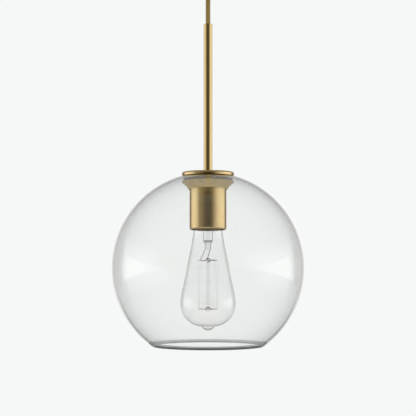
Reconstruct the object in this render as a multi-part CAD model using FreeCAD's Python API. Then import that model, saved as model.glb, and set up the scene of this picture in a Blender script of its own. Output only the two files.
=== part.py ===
import FreeCAD, Part
import math
import os

# Pendant ceiling light: a clear glass globe on a brass rod, hung by a short cord from a
# round ceiling canopy. Millimetres, +Z up. The origin is the middle of the face that meets
# the ceiling, so the whole light hangs below z = 0. -Y is the front.

# ---------------------------------------------------------------- driving dimensions
# ceiling fitting
canopy_radius = 60.0
canopy_height = 25.0
canopy_wall = 1.2
canopy_round = 8.0
crossbar_length = 106.0
crossbar_width = 18.0
crossbar_thickness = 2.0
crossbar_corner = 3.0
slot_spacing = 88.9
slot_width = 4.6
slot_length = 12.0
stud_spacing = 56.0
stud_radius = 2.0
cap_nut_radius = 4.5
cap_nut_height = 8.0
cap_nut_engagement = 5.0
cap_nut_dome = 2.0
cap_nut_flutes = 24
flute_radius = 0.4
ground_screw_x = 15.0
ground_screw_head_radius = 4.0
ground_screw_head_height = 2.4
tag_radius = 4.2
tag_neck = 6.5
tag_neck_width = 3.0
tag_barrel = 4.5
tag_barrel_wall = 0.5

# cord and its grip
cord_radius = 2.7
cord_hang = 45.0
cord_core_radius = 0.95
cord_core_circle = 1.4
grip_radius = 8.0
grip_length = 12.0
grip_thread_radius = 5.0
grip_pivot_depth = 5.0
grip_edge_round = 1.0
grip_screw_drop = 3.5
connector_radius = 4.6
connector_tip_radius = 3.3
connector_length = 19.0
connector_skirt = 5.0
connector_ribs = 12
stem_pivot_depth = 2.0
swing_limit = math.radians(20.0)

# stem
stem_visible = 172.0
stem_wall = 1.0
stem_bush_length = 12.0
stem_edge = 0.35
stem_screw_drop = 8.5
stem_below_nut = 1.0

# shade and what holds it
globe_radius = 111.0
globe_wall = 3.0
globe_rim_drop = 89.0
cap_thickness = 4.2
cap_edge_round = 1.9
cap_plate = 1.8
cap_rim_width = 1.4
cap_boss_wall = 4.0
spacer_wall = 3.0
ring_flare_over = 0.2
ring_foot_wall = 0.75
ring_height = 10.4
ring_lip = 2.2
ring_foot_straight = 0.6
ring_hollow = 0.5
neck_over_ring = 1.25
gasket_width = 4.95
gasket_in_neck = 0.45
inner_gasket_thickness = 2.2

# lamp cup and lampholder
cup_wall = 1.6
cup_plate = 1.5
cup_length = 53.7
cup_in_ring = 7.0
cup_band_step = 0.65
cup_band_height = 5.3
cup_edge_round = 1.3
bracket_width = 12.0
bracket_thickness = 1.0
bracket_leg = 15.0
bracket_foot = 7.0
bracket_screw_y = 11.5
holder_wall = 4.6
holder_deck = 7.0
holder_edge_round = 1.5
holder_recess = 5.4
holder_over_contact = 3.0
bulb_shoulder_gap = 1.0
shell_wall = 1.85
shell_flange = 1.0
shell_flange_bore = 11.2
shell_over_base_end = 3.5
terminal_x = 12.5
terminal_reach = 3.5
terminal_width = 6.0
rivet_radius = 1.0
live_rivet_x = -7.5
neutral_rivet_y = 4.4
contact_leaf = 0.5
contact_leaf_width = 6.0

# bulb (64 mm teardrop on a 26 mm screw base)
thread_pitch = 3.629
thread_root_radius = 12.0
thread_depth = 1.1
base_thread_low = 4.4
base_thread_turns = 4.0
base_length = 27.0
base_skirt_step = 1.3
base_wall = 0.5
base_contact_radius = 4.5
base_contact_height = 1.7
insulator_top_radius = 5.4
insulator_low_radius = 10.4
insulator_height = 4.6
insulator_skirt = 1.4
bulb_radius = 32.0
bulb_length = 148.0
bulb_wall = 0.8
bulb_neck_radius = 16.6
bulb_throat_radius = 11.2
bulb_widest_height = 30.4
bulb_shoulder_radius = 23.5
bulb_pip_length = 4.6
mount_radius = 5.7
mount_depth = 44.6
cage_top_depth = 67.0
cage_low_depth = 123.3
mount_pinch_half = 4.3
mount_pinch_height = 8.8
mount_pinch_thickness = 3.8
mount_wall = 0.9
stalk_radius = 1.0
lead_wire_x = 2.7
support_rod_radius = 1.85
support_bead_radius = 2.9
cage_radius = 11.5
cage_positions = 8
cage_first_angle = 221.0
filament_radius = 0.12
support_wire_radius = 0.25
lead_wire_radius = 0.35

# fasteners and sheet parts
lock_nut_flats = 14.0
lock_nut_height = 3.0
grip_nut_height = 2.5
washer_thickness = 0.8
washer_radius = 8.0
small_screw_radius = 1.5
screw_head_radius = 2.6
screw_head_height = 1.8
terminal_plate_thickness = 0.8

# ---------------------------------------------------------------- clearances
thread_fit = 0.05
slip_fit = 0.1
swing_clearance = 0.3
glass_gap = 0.3
gasket_gap = 0.02
screw_thread_gap = 0.3
contact_gap = 0.15
holder_gap = 0.65
shell_gap = 0.45

UP = FreeCAD.Vector(0, 0, 1)
ORIGIN = FreeCAD.Vector(0, 0, 0)


def point(x, y, z):
    return FreeCAD.Vector(x, y, z)


def swing_room(depth):
    """Radius that a cord swung to its limit needs at a depth from its pivot."""
    lean = depth * math.tan(swing_limit)
    return lean + cord_radius / math.cos(swing_limit) + swing_clearance


# ---------------------------------------------------------------- radii, from the bulb base out
shell_crest = thread_root_radius + screw_thread_gap
shell_radius = shell_crest + shell_wall
base_skirt_radius = thread_root_radius + base_skirt_step
holder_bore = shell_radius + shell_gap
holder_radius = holder_bore + holder_wall
cup_radius = holder_radius + holder_gap + cup_wall
ring_bore = cup_radius + cup_band_step + thread_fit
ring_foot_radius = ring_bore + ring_foot_wall
neck_radius = ring_bore + neck_over_ring
gasket_inner_radius = neck_radius + gasket_in_neck
gasket_outer_radius = gasket_inner_radius + gasket_width
cap_radius = gasket_outer_radius + slip_fit + cap_rim_width
ring_flare_radius = cap_radius + ring_flare_over

# ---------------------------------------------------------------- levels, from the top down
canopy_floor = -canopy_height
grip_mouth = canopy_floor - grip_length
grip_pivot = grip_mouth + grip_pivot_depth
stem_top = grip_mouth - cord_hang
stem_pivot = stem_top - stem_pivot_depth
cap_top = stem_top - stem_visible
cap_under = cap_top - cap_thickness
globe_centre = cap_under - glass_gap - math.sqrt(globe_radius ** 2 - cap_radius ** 2)
globe_inner = globe_radius - globe_wall

stem_bore = swing_room(stem_pivot_depth) + slip_fit
stem_radius = stem_bore + stem_wall

ring_top = (globe_centre + math.sqrt(globe_inner ** 2 - (ring_flare_radius - 1.0) ** 2)
            - inner_gasket_thickness)
ring_foot = ring_top - ring_height
cup_top = ring_foot + cup_in_ring
cup_bottom = cup_top - cup_length
cup_inside_top = cup_top - cup_plate
bracket_under = cup_inside_top - bracket_thickness
lock_washer_under = bracket_under - washer_thickness
lock_nut_under = lock_washer_under - lock_nut_height
stem_end = lock_nut_under - stem_below_nut
stem_cord_end = stem_end - 1.0

holder_bottom = cup_bottom + holder_recess
base_bottom = holder_bottom - bulb_shoulder_gap
bulb_contact_top = base_bottom + base_length
deck_under = bulb_contact_top + holder_over_contact
deck_top = deck_under + holder_deck
shell_bottom = base_bottom + shell_over_base_end
live_rivet = (live_rivet_x, 0.0)
neutral_rivet = ((shell_flange_bore + shell_radius) / 2 - 0.8, neutral_rivet_y)
insulator_top = bulb_contact_top - base_contact_height - contact_gap
insulator_low = insulator_top - insulator_height

mount_pinch_top = bulb_contact_top - mount_depth
cage_top = bulb_contact_top - cage_top_depth
cage_low = bulb_contact_top - cage_low_depth
stalk_bead = cage_top - 2.0

canopy_cord_top = -13.0
connector_level = -7.5
connector_start = 13.0
grip_screw_level = canopy_floor - grip_screw_drop
stem_screw_level = stem_pivot - stem_screw_drop


# ---------------------------------------------------------------- shape helpers
def lathe(*outline):
    """Turn a closed outline about Z: (r, z) is a straight step, (r1, z1, r, z) an arc by r1, z1."""
    here = point(outline[0][-2], 0, outline[0][-1])
    edges = []
    for step in outline[1:] + (outline[0],):
        there = point(step[-2], 0, step[-1])
        if len(step) == 4:
            edges.append(Part.Arc(here, point(step[0], 0, step[1]), there).toShape())
        elif (there - here).Length > 1e-6:
            edges.append(Part.LineSegment(here, there).toShape())
        here = there
    return Part.Face(Part.Wire(edges)).revolve(ORIGIN, UP, 360)


def on_circle(r, z, radius, degrees):
    """A point of a circle drawn in the outline plane."""
    angle = math.radians(degrees)
    return (r + radius * math.cos(angle), z + radius * math.sin(angle))


def rod(radius, low, high, x=0.0, y=0.0):
    return Part.makeCylinder(radius, high - low, point(x, y, low), UP)


def tube(outer, inner, low, high):
    return rod(outer, low, high).cut(rod(inner, low - 1, high + 1))


def bar(x0, x1, y0, y1, z0, z1):
    return Part.makeBox(x1 - x0, y1 - y0, z1 - z0, point(x0, y0, z0))


def hex_nut(flats, bore, low, high):
    corner = flats / math.sqrt(3)
    corners = [point(corner * math.cos(math.radians(60 * i)), corner * math.sin(math.radians(60 * i)), low)
               for i in range(7)]
    prism = Part.Face(Part.makePolygon(corners)).extrude(UP * (high - low))
    bevel = corner - flats / 2
    dome = lathe((0, low), (flats / 2, low), (corner, low + bevel * 0.6),
                 (corner, high - bevel * 0.6), (flats / 2, high), (0, high))
    return prism.common(dome).cut(rod(bore, low - 1, high + 1))


def toothed_washer(outer, bore, low, high, teeth=12):
    """A lock washer with notches round its outer edge."""
    washer = tube(outer, bore, low, high)
    notch = bar(outer - 1.6, outer + 1, -0.7, 0.7, low - 1, high + 1)
    notches = []
    for i in range(teeth):
        copy = notch.copy()
        copy.rotate(ORIGIN, UP, 360.0 * i / teeth)
        notches.append(copy)
    return washer.cut(Part.makeCompound(notches))


def pan_screw(x, y, seat, tip, shank=small_screw_radius, head=screw_head_radius, height=screw_head_height):
    """A slotted screw that points down: its head sits on seat and its shank ends at tip."""
    screw = rod(shank, tip, seat).fuse(rod(head, seat, seat + height))
    edge = [e for e in screw.Edges if abs(e.BoundBox.ZMin - seat - height) < 1e-6]
    screw = screw.makeFillet(height * 0.35, edge)
    slot = bar(-head - 1, head + 1, -0.35, 0.35, seat + height - 0.8, seat + height + 1)
    screw = screw.cut(slot)
    screw.translate(point(x, y, 0))
    return screw


def side_screw(z, surface, tip, radius):
    """A slotted grub screw that points at the axis from the back."""
    screw = Part.makeCylinder(radius, surface - tip, point(0, tip, z), point(0, 1, 0))
    slot = bar(-radius - 1, radius + 1, surface - 0.7, surface + 1, z - 0.3, z + 0.3)
    return screw.cut(slot)


def route_wire(points):
    """Straight runs joined by tangent arcs, each as large as its two runs allow."""
    here = points[0]
    edges = []
    for before, corner, after in zip(points, points[1:], points[2:]):
        run_in = corner - before
        run_out = after - corner
        reach = 0.45 * min(run_in.Length, run_out.Length)
        turn = run_in.getAngle(run_out)
        start = corner - FreeCAD.Vector(run_in).normalize() * reach
        end = corner + FreeCAD.Vector(run_out).normalize() * reach
        inward = ((start + end) * 0.5 - corner).normalize()
        radius = reach / math.tan(turn / 2)
        middle = corner + inward * (radius / math.cos(turn / 2) - radius)
        edges.append(Part.LineSegment(here, start).toShape())
        edges.append(Part.Arc(start, middle, end).toShape())
        here = end
    edges.append(Part.LineSegment(here, points[-1]).toShape())
    return Part.Wire(edges)


def wire_tube(points, radius):
    path = route_wire(points)
    start = points[0]
    circle = Part.Wire(Part.makeCircle(radius, start, points[1] - start))
    return path.makePipeShell([circle], True, False)


def straight_wire(start, end, radius):
    return Part.makeCylinder(radius, (end - start).Length, start, end - start)


def polar(radius, degrees, z):
    angle = math.radians(degrees)
    return point(radius * math.cos(angle), radius * math.sin(angle), z)


def thread_ridge(root, depth, low, turns, grow):
    """A right-hand rounded thread ridge; grow makes it fatter, for the groove it runs in."""
    half = thread_pitch * 0.30
    start = root - 0.3
    crest = root + depth + grow
    helix = Part.makeHelix(thread_pitch, thread_pitch * turns, start)
    side = half + grow
    foot_low = point(start, 0, -side)
    foot_high = point(start, 0, side)
    flank_low = point(crest - 0.3, 0, -side * 0.55)
    flank_high = point(crest - 0.3, 0, side * 0.55)
    outline = Part.Wire([Part.LineSegment(foot_high, foot_low).toShape(),
                         Part.LineSegment(foot_low, flank_low).toShape(),
                         Part.Arc(flank_low, point(crest, 0, 0), flank_high).toShape(),
                         Part.LineSegment(flank_high, foot_high).toShape()])
    ridge = Part.Wire(helix.Edges).makePipeShell([outline], True, True)
    ridge.translate(point(0, 0, low))
    return ridge


# ---------------------------------------------------------------- ceiling fitting
def stud_places():
    return [(-stud_spacing / 2, 0.0), (stud_spacing / 2, 0.0)]


def ceiling_canopy():
    """Spun cup, open to the ceiling, with a hole for the grip and two for the studs."""
    r, f, w, low = canopy_radius, canopy_round, canopy_wall, canopy_floor
    hole = grip_thread_radius + slip_fit
    shell = lathe((r, 0), (r, low + f), on_circle(r - f, low + f, f, -45) + (r - f, low),
                  (hole, low), (hole, low + w), (r - f, low + w),
                  on_circle(r - f, low + f, f - w, -45) + (r - w, low + f), (r - w, 0))
    for x, y in stud_places():
        shell = shell.cut(rod(stud_radius + slip_fit, low - 1, low + w + 1, x, y))
    return shell


def mounting_crossbar():
    """Flat steel strap that screws to the ceiling box; its top face meets the ceiling."""
    half_length, half_width = crossbar_length / 2, crossbar_width / 2
    strap = bar(-half_length, half_length, -half_width, half_width, -crossbar_thickness, 0)
    corners = [e for e in strap.Edges if abs(e.BoundBox.ZLength - crossbar_thickness) < 1e-6]
    strap = strap.makeFillet(crossbar_corner, corners)
    cuts = []
    for side in (-1, 1):
        middle = side * slot_spacing / 2
        reach = (slot_length - slot_width) / 2
        cuts.append(bar(middle - reach, middle + reach, -slot_width / 2, slot_width / 2,
                        -crossbar_thickness - 1, 1))
        for end in (-reach, reach):
            cuts.append(rod(slot_width / 2, -crossbar_thickness - 1, 1, middle + end))
    for x, y in stud_places() + [(ground_screw_x, 0.0)]:
        cuts.append(rod(stud_radius + thread_fit, -crossbar_thickness - 1, 1, x, y))
    for cut in cuts:
        strap = strap.cut(cut)
    return strap


def canopy_studs():
    """Two threaded studs from the crossbar down through the canopy."""
    tip = canopy_floor - cap_nut_engagement
    return Part.makeCompound([rod(stud_radius, tip, 0, x, y) for x, y in stud_places()])


def canopy_cap_nuts():
    """Two knurled, domed nuts that hold the canopy up on its studs."""
    low, high, r, dome = canopy_floor - cap_nut_height, canopy_floor, cap_nut_radius, cap_nut_dome
    body = lathe((0, high), (r, high), (r, low + dome),
                 on_circle(r - dome, low + dome, dome, -45) + (r - dome, low), (0, low))
    body = body.cut(rod(stud_radius + thread_fit, high - cap_nut_engagement - 0.5, high + 1))
    flutes = []
    for i in range(cap_nut_flutes):
        place = polar(r + 0.3 * flute_radius, 360.0 * i / cap_nut_flutes, low)
        flutes.append(rod(flute_radius, low + dome + 0.5, high - 0.8, place.x, place.y))
    body = body.cut(Part.makeCompound(flutes))
    nuts = []
    for x, y in stud_places():
        nut = body.copy()
        nut.translate(point(x, y, 0))
        nuts.append(nut)
    return Part.makeCompound(nuts)


def ground_screw():
    """Screw up into the crossbar that clamps the earth ring terminal."""
    seat = -crossbar_thickness - washer_thickness
    low, r = seat - ground_screw_head_height, ground_screw_head_radius
    screw = rod(stud_radius, seat, 0, ground_screw_x).fuse(rod(r, low, seat, ground_screw_x))
    slot = bar(ground_screw_x - r - 1, ground_screw_x + r + 1, -0.5, 0.5, low - 1, low + 1)
    return screw.cut(slot)


def earth_lead_level():
    """Height of the earth core, which runs in the tag's barrel under the crossbar."""
    return -crossbar_thickness - cord_core_radius - tag_barrel_wall - slip_fit


def earth_ring_terminal():
    """Crimped ring tag under the ground screw, with its barrel towards the cord."""
    high = -crossbar_thickness
    low = high - washer_thickness
    half = tag_neck_width / 2
    tag = rod(tag_radius, low, high, ground_screw_x).cut(
        rod(stud_radius + slip_fit, low - 1, high + 1, ground_screw_x))
    neck_end = ground_screw_x - tag_neck
    tag = tag.fuse(bar(neck_end, ground_screw_x - tag_radius + 0.6, -half, half, low, high))
    barrel_x = neck_end - tag_barrel
    level = earth_lead_level()
    barrel = Part.makeCylinder(cord_core_radius + tag_barrel_wall, tag_barrel + 0.6,
                               point(barrel_x, 0, level), point(1, 0, 0))
    bore = Part.makeCylinder(cord_core_radius + thread_fit, tag_barrel - 1.0 + 0.5,
                             point(barrel_x - 0.5, 0, level), point(1, 0, 0))
    return tag.fuse(barrel).cut(bore)


def cord_grip_body():
    """Turned collar: a threaded neck through the canopy and a flared mouth for the cord."""
    neck_top = canopy_floor + canopy_wall + washer_thickness + grip_nut_height + 1.0
    ball_top = grip_pivot + cord_radius + swing_clearance
    r, e = grip_radius, grip_edge_round
    body = lathe((cord_radius + slip_fit, neck_top), (grip_thread_radius, neck_top),
                 (grip_thread_radius, canopy_floor), (r, canopy_floor), (r, grip_mouth + e),
                 on_circle(r - e, grip_mouth + e, e, -45) + (r - e, grip_mouth),
                 (swing_room(grip_pivot_depth), grip_mouth), (swing_room(0), grip_pivot),
                 (swing_room(0), ball_top), (cord_radius + slip_fit, ball_top))
    return body.cut(Part.makeCylinder(small_screw_radius + thread_fit, r + 1,
                                      point(0, 0, grip_screw_level), point(0, 1, 0)))


def cord_grip_screw():
    return side_screw(grip_screw_level, grip_radius + 0.4, cord_radius + thread_fit, small_screw_radius)


def cord_grip_washer():
    low = canopy_floor + canopy_wall
    return toothed_washer(washer_radius, grip_thread_radius + slip_fit, low, low + washer_thickness)


def cord_grip_nut():
    low = canopy_floor + canopy_wall + washer_thickness
    return hex_nut(lock_nut_flats, grip_thread_radius + thread_fit, low, low + grip_nut_height)


def canopy_cord():
    """The cord's end held in the grip, up to where its sheath is stripped."""
    return rod(cord_radius, grip_pivot + cord_radius + swing_clearance, canopy_cord_top)


def canopy_lead(degrees, end, level):
    """One core from the stripped end, up and then sideways to end, at a level."""
    start = polar(cord_core_circle, degrees, canopy_cord_top)
    route = [start, point(start.x, start.y, level), point(end[0], end[1], level)]
    return wire_tube(route, cord_core_radius)


def live_lead():
    return canopy_lead(90, (0.0, connector_start + 3.0), connector_level)


def neutral_lead():
    return canopy_lead(270, (0.0, -connector_start - 3.0), connector_level)


def earth_lead():
    in_barrel = ground_screw_x - tag_neck - 2.0
    return canopy_lead(0, (in_barrel, 0.0), earth_lead_level())


def wire_connectors():
    """Two twist-on wire caps, one on the live core and one on the neutral core."""
    r, tip, length, e = connector_radius, connector_tip_radius, connector_length, 1.5
    bore, depth = cord_core_radius + slip_fit, 3.5
    cap = lathe((bore, 0), (r, 0), (r, connector_skirt), (tip, length - e),
                on_circle(tip - e, length - e, e, 45) + (tip - e, length),
                (0, length), (0, depth), (bore, depth))
    ribs = []
    for i in range(connector_ribs):
        place = polar(r + 0.15, 360.0 * i / connector_ribs, 0)
        ribs.append(rod(0.55, 0.8, length, place.x, place.y))
    cap = cap.cut(Part.makeCompound(ribs))
    live = cap.copy()
    live.rotate(ORIGIN, point(1, 0, 0), -90)
    live.translate(point(0, connector_start, connector_level))
    neutral = cap.copy()
    neutral.rotate(ORIGIN, point(1, 0, 0), 90)
    neutral.translate(point(0, -connector_start, connector_level))
    return Part.makeCompound([live, neutral])


# ---------------------------------------------------------------- cord and stem
def supply_cord():
    """The cord that hangs free between the grip and the stem, rounded where it pivots."""
    body = rod(cord_radius, stem_pivot, grip_pivot)
    for z in (stem_pivot, grip_pivot):
        body = body.fuse(Part.makeSphere(cord_radius, point(0, 0, z)))
    return body.removeSplitter()


def stem_tube():
    """Brass rod with a plain top; its lower end is threaded for the cap and the lock nut."""
    e = stem_edge
    body = lathe((stem_bore, stem_top), (stem_radius - e, stem_top), (stem_radius, stem_top - e),
                 (stem_radius, stem_end + 0.5), (stem_radius - 0.5, stem_end), (stem_bore, stem_end))
    return body.cut(Part.makeCylinder(small_screw_radius + thread_fit, stem_radius + 1,
                                      point(0, 0, stem_screw_level), point(0, 1, 0)))


def stem_top_bushing():
    """Insert in the top of the rod that holds the cord; its open top clears the swinging cord."""
    ball_low = stem_pivot - cord_radius - swing_clearance
    low = stem_pivot - stem_bush_length
    body = lathe((swing_room(0), stem_pivot), (stem_bore - thread_fit, stem_pivot),
                 (stem_bore - thread_fit, low), (cord_radius + slip_fit, low),
                 (cord_radius + slip_fit, ball_low), (swing_room(0), ball_low))
    return body.cut(Part.makeCylinder(small_screw_radius + thread_fit, stem_radius + 1,
                                      point(0, 0, stem_screw_level), point(0, 1, 0)))


def stem_grub_screw():
    return side_screw(stem_screw_level, stem_radius - 0.1, cord_radius + thread_fit, small_screw_radius)


def stem_cord():
    """The cord inside the rod, from the bushing to its stripped end in the lamp cup."""
    return rod(cord_radius, stem_cord_end, stem_pivot - cord_radius - swing_clearance)


# ---------------------------------------------------------------- shade
def shade_cap():
    """Turned brass disc tapped for the rod, hollowed underneath for the outer gasket."""
    r, e = cap_radius, cap_edge_round
    recess_top = cap_top - cap_plate
    rim = r - cap_rim_width
    boss = stem_radius + cap_boss_wall
    rim_foot = globe_centre + globe_edge(globe_radius, rim) + glass_gap
    return lathe((stem_radius + thread_fit, cap_top), (r - e, cap_top),
                 on_circle(r - e, cap_top - e, e, 45) + (r, cap_top - e), (r, cap_under),
                 (rim, rim_foot), (rim, recess_top), (boss, recess_top), (boss, cap_under),
                 (stem_radius + thread_fit, cap_under))


def outer_gasket():
    """Silicone ring between the cap and the top of the glass."""
    ring = tube(gasket_outer_radius, gasket_inner_radius, cap_under - 5, cap_top - cap_plate - slip_fit)
    return ring.cut(Part.makeSphere(globe_radius + gasket_gap, point(0, 0, globe_centre)))


def inner_gasket():
    """Silicone ring between the gallery ring and the inside of the glass."""
    ring = tube(gasket_outer_radius, gasket_inner_radius, ring_top, cap_under)
    return ring.common(Part.makeSphere(globe_inner - gasket_gap, point(0, 0, globe_centre)))


def globe_edge(radius, depth):
    """Height of a sphere about the globe's centre at a distance from the axis."""
    return math.sqrt(radius ** 2 - depth ** 2)


def glass_globe():
    """Blown glass sphere, open below, with a ground neck hole and a rounded lower rim."""
    c, outer, inner = globe_centre, globe_radius, globe_inner
    middle = (outer + inner) / 2
    bead = globe_wall / 2
    rim_angle = -math.degrees(math.asin(globe_rim_drop / middle))
    neck_angle = math.degrees(math.acos((neck_radius + bead) / middle))
    rim_middle = on_circle(0, c, middle, rim_angle)
    neck_middle = on_circle(0, c, middle, neck_angle)
    return lathe(on_circle(0, c, outer, rim_angle),
                 on_circle(0, c, outer, 0) + on_circle(0, c, outer, neck_angle),
                 on_circle(neck_middle[0], neck_middle[1], bead, neck_angle + 90)
                 + on_circle(0, c, inner, neck_angle),
                 on_circle(0, c, inner, 0) + on_circle(0, c, inner, rim_angle),
                 on_circle(rim_middle[0], rim_middle[1], bead, rim_angle - 90)
                 + on_circle(0, c, outer, rim_angle))


def gallery_ring():
    """Flared ring that screws up the cup's threaded band and clamps the glass."""
    low, high, lip = ring_foot, ring_top, ring_lip
    flare_low = low + ring_foot_straight
    flare_high = high - lip
    bow = ring_hollow / math.sqrt(2)
    middle_r = (ring_foot_radius + ring_flare_radius) / 2 - bow
    middle_z = (flare_low + flare_high) / 2 + bow
    return lathe((ring_bore, low), (ring_foot_radius, low), (ring_foot_radius, flare_low),
                 (middle_r, middle_z, ring_flare_radius, flare_high),
                 on_circle(ring_flare_radius - lip, flare_high, lip, 45)
                 + (ring_flare_radius - lip, high),
                 (ring_bore, high))


# ---------------------------------------------------------------- lamp cup and lampholder
def socket_cup():
    """Drawn cup round the lampholder, with a threaded band at its top for the gallery ring."""
    r, e, w = cup_radius, cup_edge_round, cup_wall
    band = r + cup_band_step
    low, high = cup_bottom, cup_top
    band_low = high - cup_band_height
    hole = stem_radius + slip_fit
    return lathe((hole, high), (band, high), (band, band_low), (r, band_low), (r, low + e),
                 on_circle(r - e, low + e, e, -45) + (r - e, low), (r - w, low),
                 (r - w, cup_inside_top), (hole, cup_inside_top))


def spacer_bush():
    """Bush on the rod between the cap and the cup, inside the neck of the glass."""
    return tube(stem_radius + spacer_wall, stem_radius + slip_fit, cup_top, cap_under)


def lock_washer():
    return toothed_washer(washer_radius, stem_radius + slip_fit, lock_washer_under, bracket_under)


def lock_nut():
    return hex_nut(lock_nut_flats, stem_radius + thread_fit, lock_nut_under, lock_washer_under)


def holder_bracket():
    """Bent steel strap that hangs the lampholder from the lock nut."""
    half, t = bracket_width / 2, bracket_thickness
    outer = bracket_leg + t
    strap = bar(-half, half, -outer, outer, bracket_under, cup_inside_top)
    for side in (-1, 1):
        leg = (bracket_leg, outer) if side > 0 else (-outer, -bracket_leg)
        foot = (outer - bracket_foot - t, outer) if side > 0 else (-outer, -outer + bracket_foot + t)
        strap = strap.fuse(bar(-half, half, leg[0], leg[1], deck_top, cup_inside_top))
        strap = strap.fuse(bar(-half, half, foot[0], foot[1], deck_top, deck_top + t))
        strap = strap.cut(rod(small_screw_radius + slip_fit, deck_top - 1, deck_top + t + 1,
                              0, side * bracket_screw_y))
    return strap.cut(rod(stem_radius + slip_fit, bracket_under - 1, cup_inside_top + 1)).removeSplitter()


def holder_screws():
    seat = deck_top + bracket_thickness
    return Part.makeCompound([pan_screw(0, side * bracket_screw_y, seat, deck_top - 4.5)
                              for side in (-1, 1)])


def holder_body():
    """Glazed porcelain body of the lampholder: a deck above and a well for the screw shell."""
    r, e = holder_radius, holder_edge_round
    body = lathe((0, deck_top), (r - e, deck_top), on_circle(r - e, deck_top - e, e, 45) + (r, deck_top - e),
                 (r, holder_bottom + 1), (r - 1, holder_bottom), (holder_bore, holder_bottom),
                 (holder_bore, deck_under), (0, deck_under))
    hole = small_screw_radius + thread_fit
    for side in (-1, 1):
        body = body.cut(rod(hole, deck_top - 5, deck_top + 1, 0, side * bracket_screw_y))
        body = body.cut(rod(hole, deck_top - 4.5, deck_top + 1, side * terminal_x))
    for place in (live_rivet, neutral_rivet):
        body = body.cut(rod(rivet_radius + thread_fit, deck_under - 1, deck_top + 1, *place))
    return body


def terminal(x_low, x_high, y_high, rivet_place, rivet_low):
    """Brass plate on the deck with a rivet through the deck that carries the current down."""
    high = deck_top + terminal_plate_thickness
    plate = bar(x_low, x_high, -terminal_width / 2, y_high, deck_top, high)
    plate = plate.cut(rod(small_screw_radius + slip_fit, deck_top - 1, high + 1,
                          math.copysign(terminal_x, x_low)))
    return plate.fuse(rod(rivet_radius, rivet_low, high, *rivet_place)).removeSplitter()


def live_terminal():
    """Terminal plate that feeds the centre contact."""
    return terminal(-terminal_x - terminal_reach, live_rivet[0] + 2.5, terminal_width / 2, live_rivet,
                    deck_under - contact_leaf)


def neutral_terminal():
    """Terminal plate that feeds the screw shell; its rivet ends in the shell's flange."""
    return terminal(terminal_x - 4.0, terminal_x + terminal_reach, neutral_rivet[1] + 1.6, neutral_rivet,
                    deck_under)


def terminal_screws():
    seat = deck_top + terminal_plate_thickness + 2 * cord_core_radius
    return Part.makeCompound([pan_screw(side * terminal_x, 0, seat, deck_top - 4) for side in (-1, 1)])


def centre_contact():
    """Bronze leaf spring under the deck that presses on the bulb's contact."""
    t, half = contact_leaf, contact_leaf_width / 2
    top = deck_under
    tip = bulb_contact_top + contact_gap
    start, bend = live_rivet[0] - half, live_rivet[0] + 2.5
    outline = [(start, top), (start, top - t), (bend, top - t), (-half / 2, tip), (half + t, tip),
               (half + t, tip + t), (0.3 - half / 2, tip + t), (bend + 0.4, top)]
    corners = [point(x, -half, z) for x, z in outline]
    leaf = Part.Face(Part.makePolygon(corners + corners[:1])).extrude(point(0, contact_leaf_width, 0))
    return leaf.cut(rod(rivet_radius + thread_fit, top - 2, top + 1, *live_rivet))


def screw_shell():
    """Threaded brass shell of the lampholder; its rounded groove clears the bulb's thread."""
    flange_low, bore = deck_under - shell_flange, shell_flange_bore
    shell = lathe((shell_radius, deck_under), (shell_radius, shell_bottom), (shell_crest, shell_bottom),
                  (shell_crest, flange_low), (bore, flange_low), (bore, deck_under))
    turns_below = 2.0
    low = base_bottom + base_thread_low - turns_below * thread_pitch
    turns = math.floor((flange_low - low) / thread_pitch - 0.4)
    groove = thread_ridge(thread_root_radius, thread_depth, low, turns, screw_thread_gap)
    return shell.cut(groove)


def holder_lead(degrees, side):
    """One core from the end of the cord in the cup, down and out to its terminal."""
    start = polar(cord_core_circle, degrees, stem_cord_end)
    level = deck_top + terminal_plate_thickness + cord_core_radius
    end = point(side * (terminal_x - small_screw_radius - 0.2), 0, level)
    return wire_tube([start, point(start.x, start.y, level), end], cord_core_radius)


def holder_live_lead():
    return holder_lead(180, -1)


def holder_neutral_lead():
    return holder_lead(0, 1)


def holder_earth_lead():
    """Earth core, down and back to the bracket's foot, where the holder screw clamps it."""
    start = polar(cord_core_circle, 90, stem_cord_end)
    level = deck_top + bracket_thickness + cord_core_radius
    end = point(0, bracket_screw_y - screw_head_radius - 0.1, level)
    return wire_tube([start, point(start.x, start.y, level), end], cord_core_radius)


# ---------------------------------------------------------------- bulb
def bulb_contact():
    """Round solder contact at the top of the base."""
    top, r = bulb_contact_top, base_contact_radius
    low = top - base_contact_height
    return lathe((0, top), (r * 0.5, top - 0.12, r - 0.5, top - 0.6), (r, top - 1.1), (r, low), (0, low))


def bulb_base_insulator():
    """Black glass cone between the contact and the screw shell of the base."""
    r, foot = insulator_low_radius, insulator_low - insulator_skirt
    return lathe((0, insulator_top), (insulator_top_radius, insulator_top), (r, insulator_low + 0.4),
                 (r, foot), (0, foot))


def bulb_base_shell():
    """Thin brass shell of the base with its rolled thread."""
    low = base_bottom
    high = insulator_low + 0.2
    bore = insulator_low_radius + thread_fit
    r, w = thread_root_radius, base_wall
    shell = lathe((base_skirt_radius - w, low), (base_skirt_radius, low),
                  (base_skirt_radius, low + 1.8), (r, low + 3.2), (r, high - 1.2), (r - 1.0, high),
                  (bore, high), (bore, high - 0.9), (r - w, high - 1.7),
                  (r - w, low + 3.2), (base_skirt_radius - w, low + 1.8))
    ridge = thread_ridge(r, thread_depth, low + base_thread_low, base_thread_turns, 0.0)
    ridge = ridge.cut(rod(r - w / 2, low, high))
    return shell.fuse(ridge)


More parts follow.
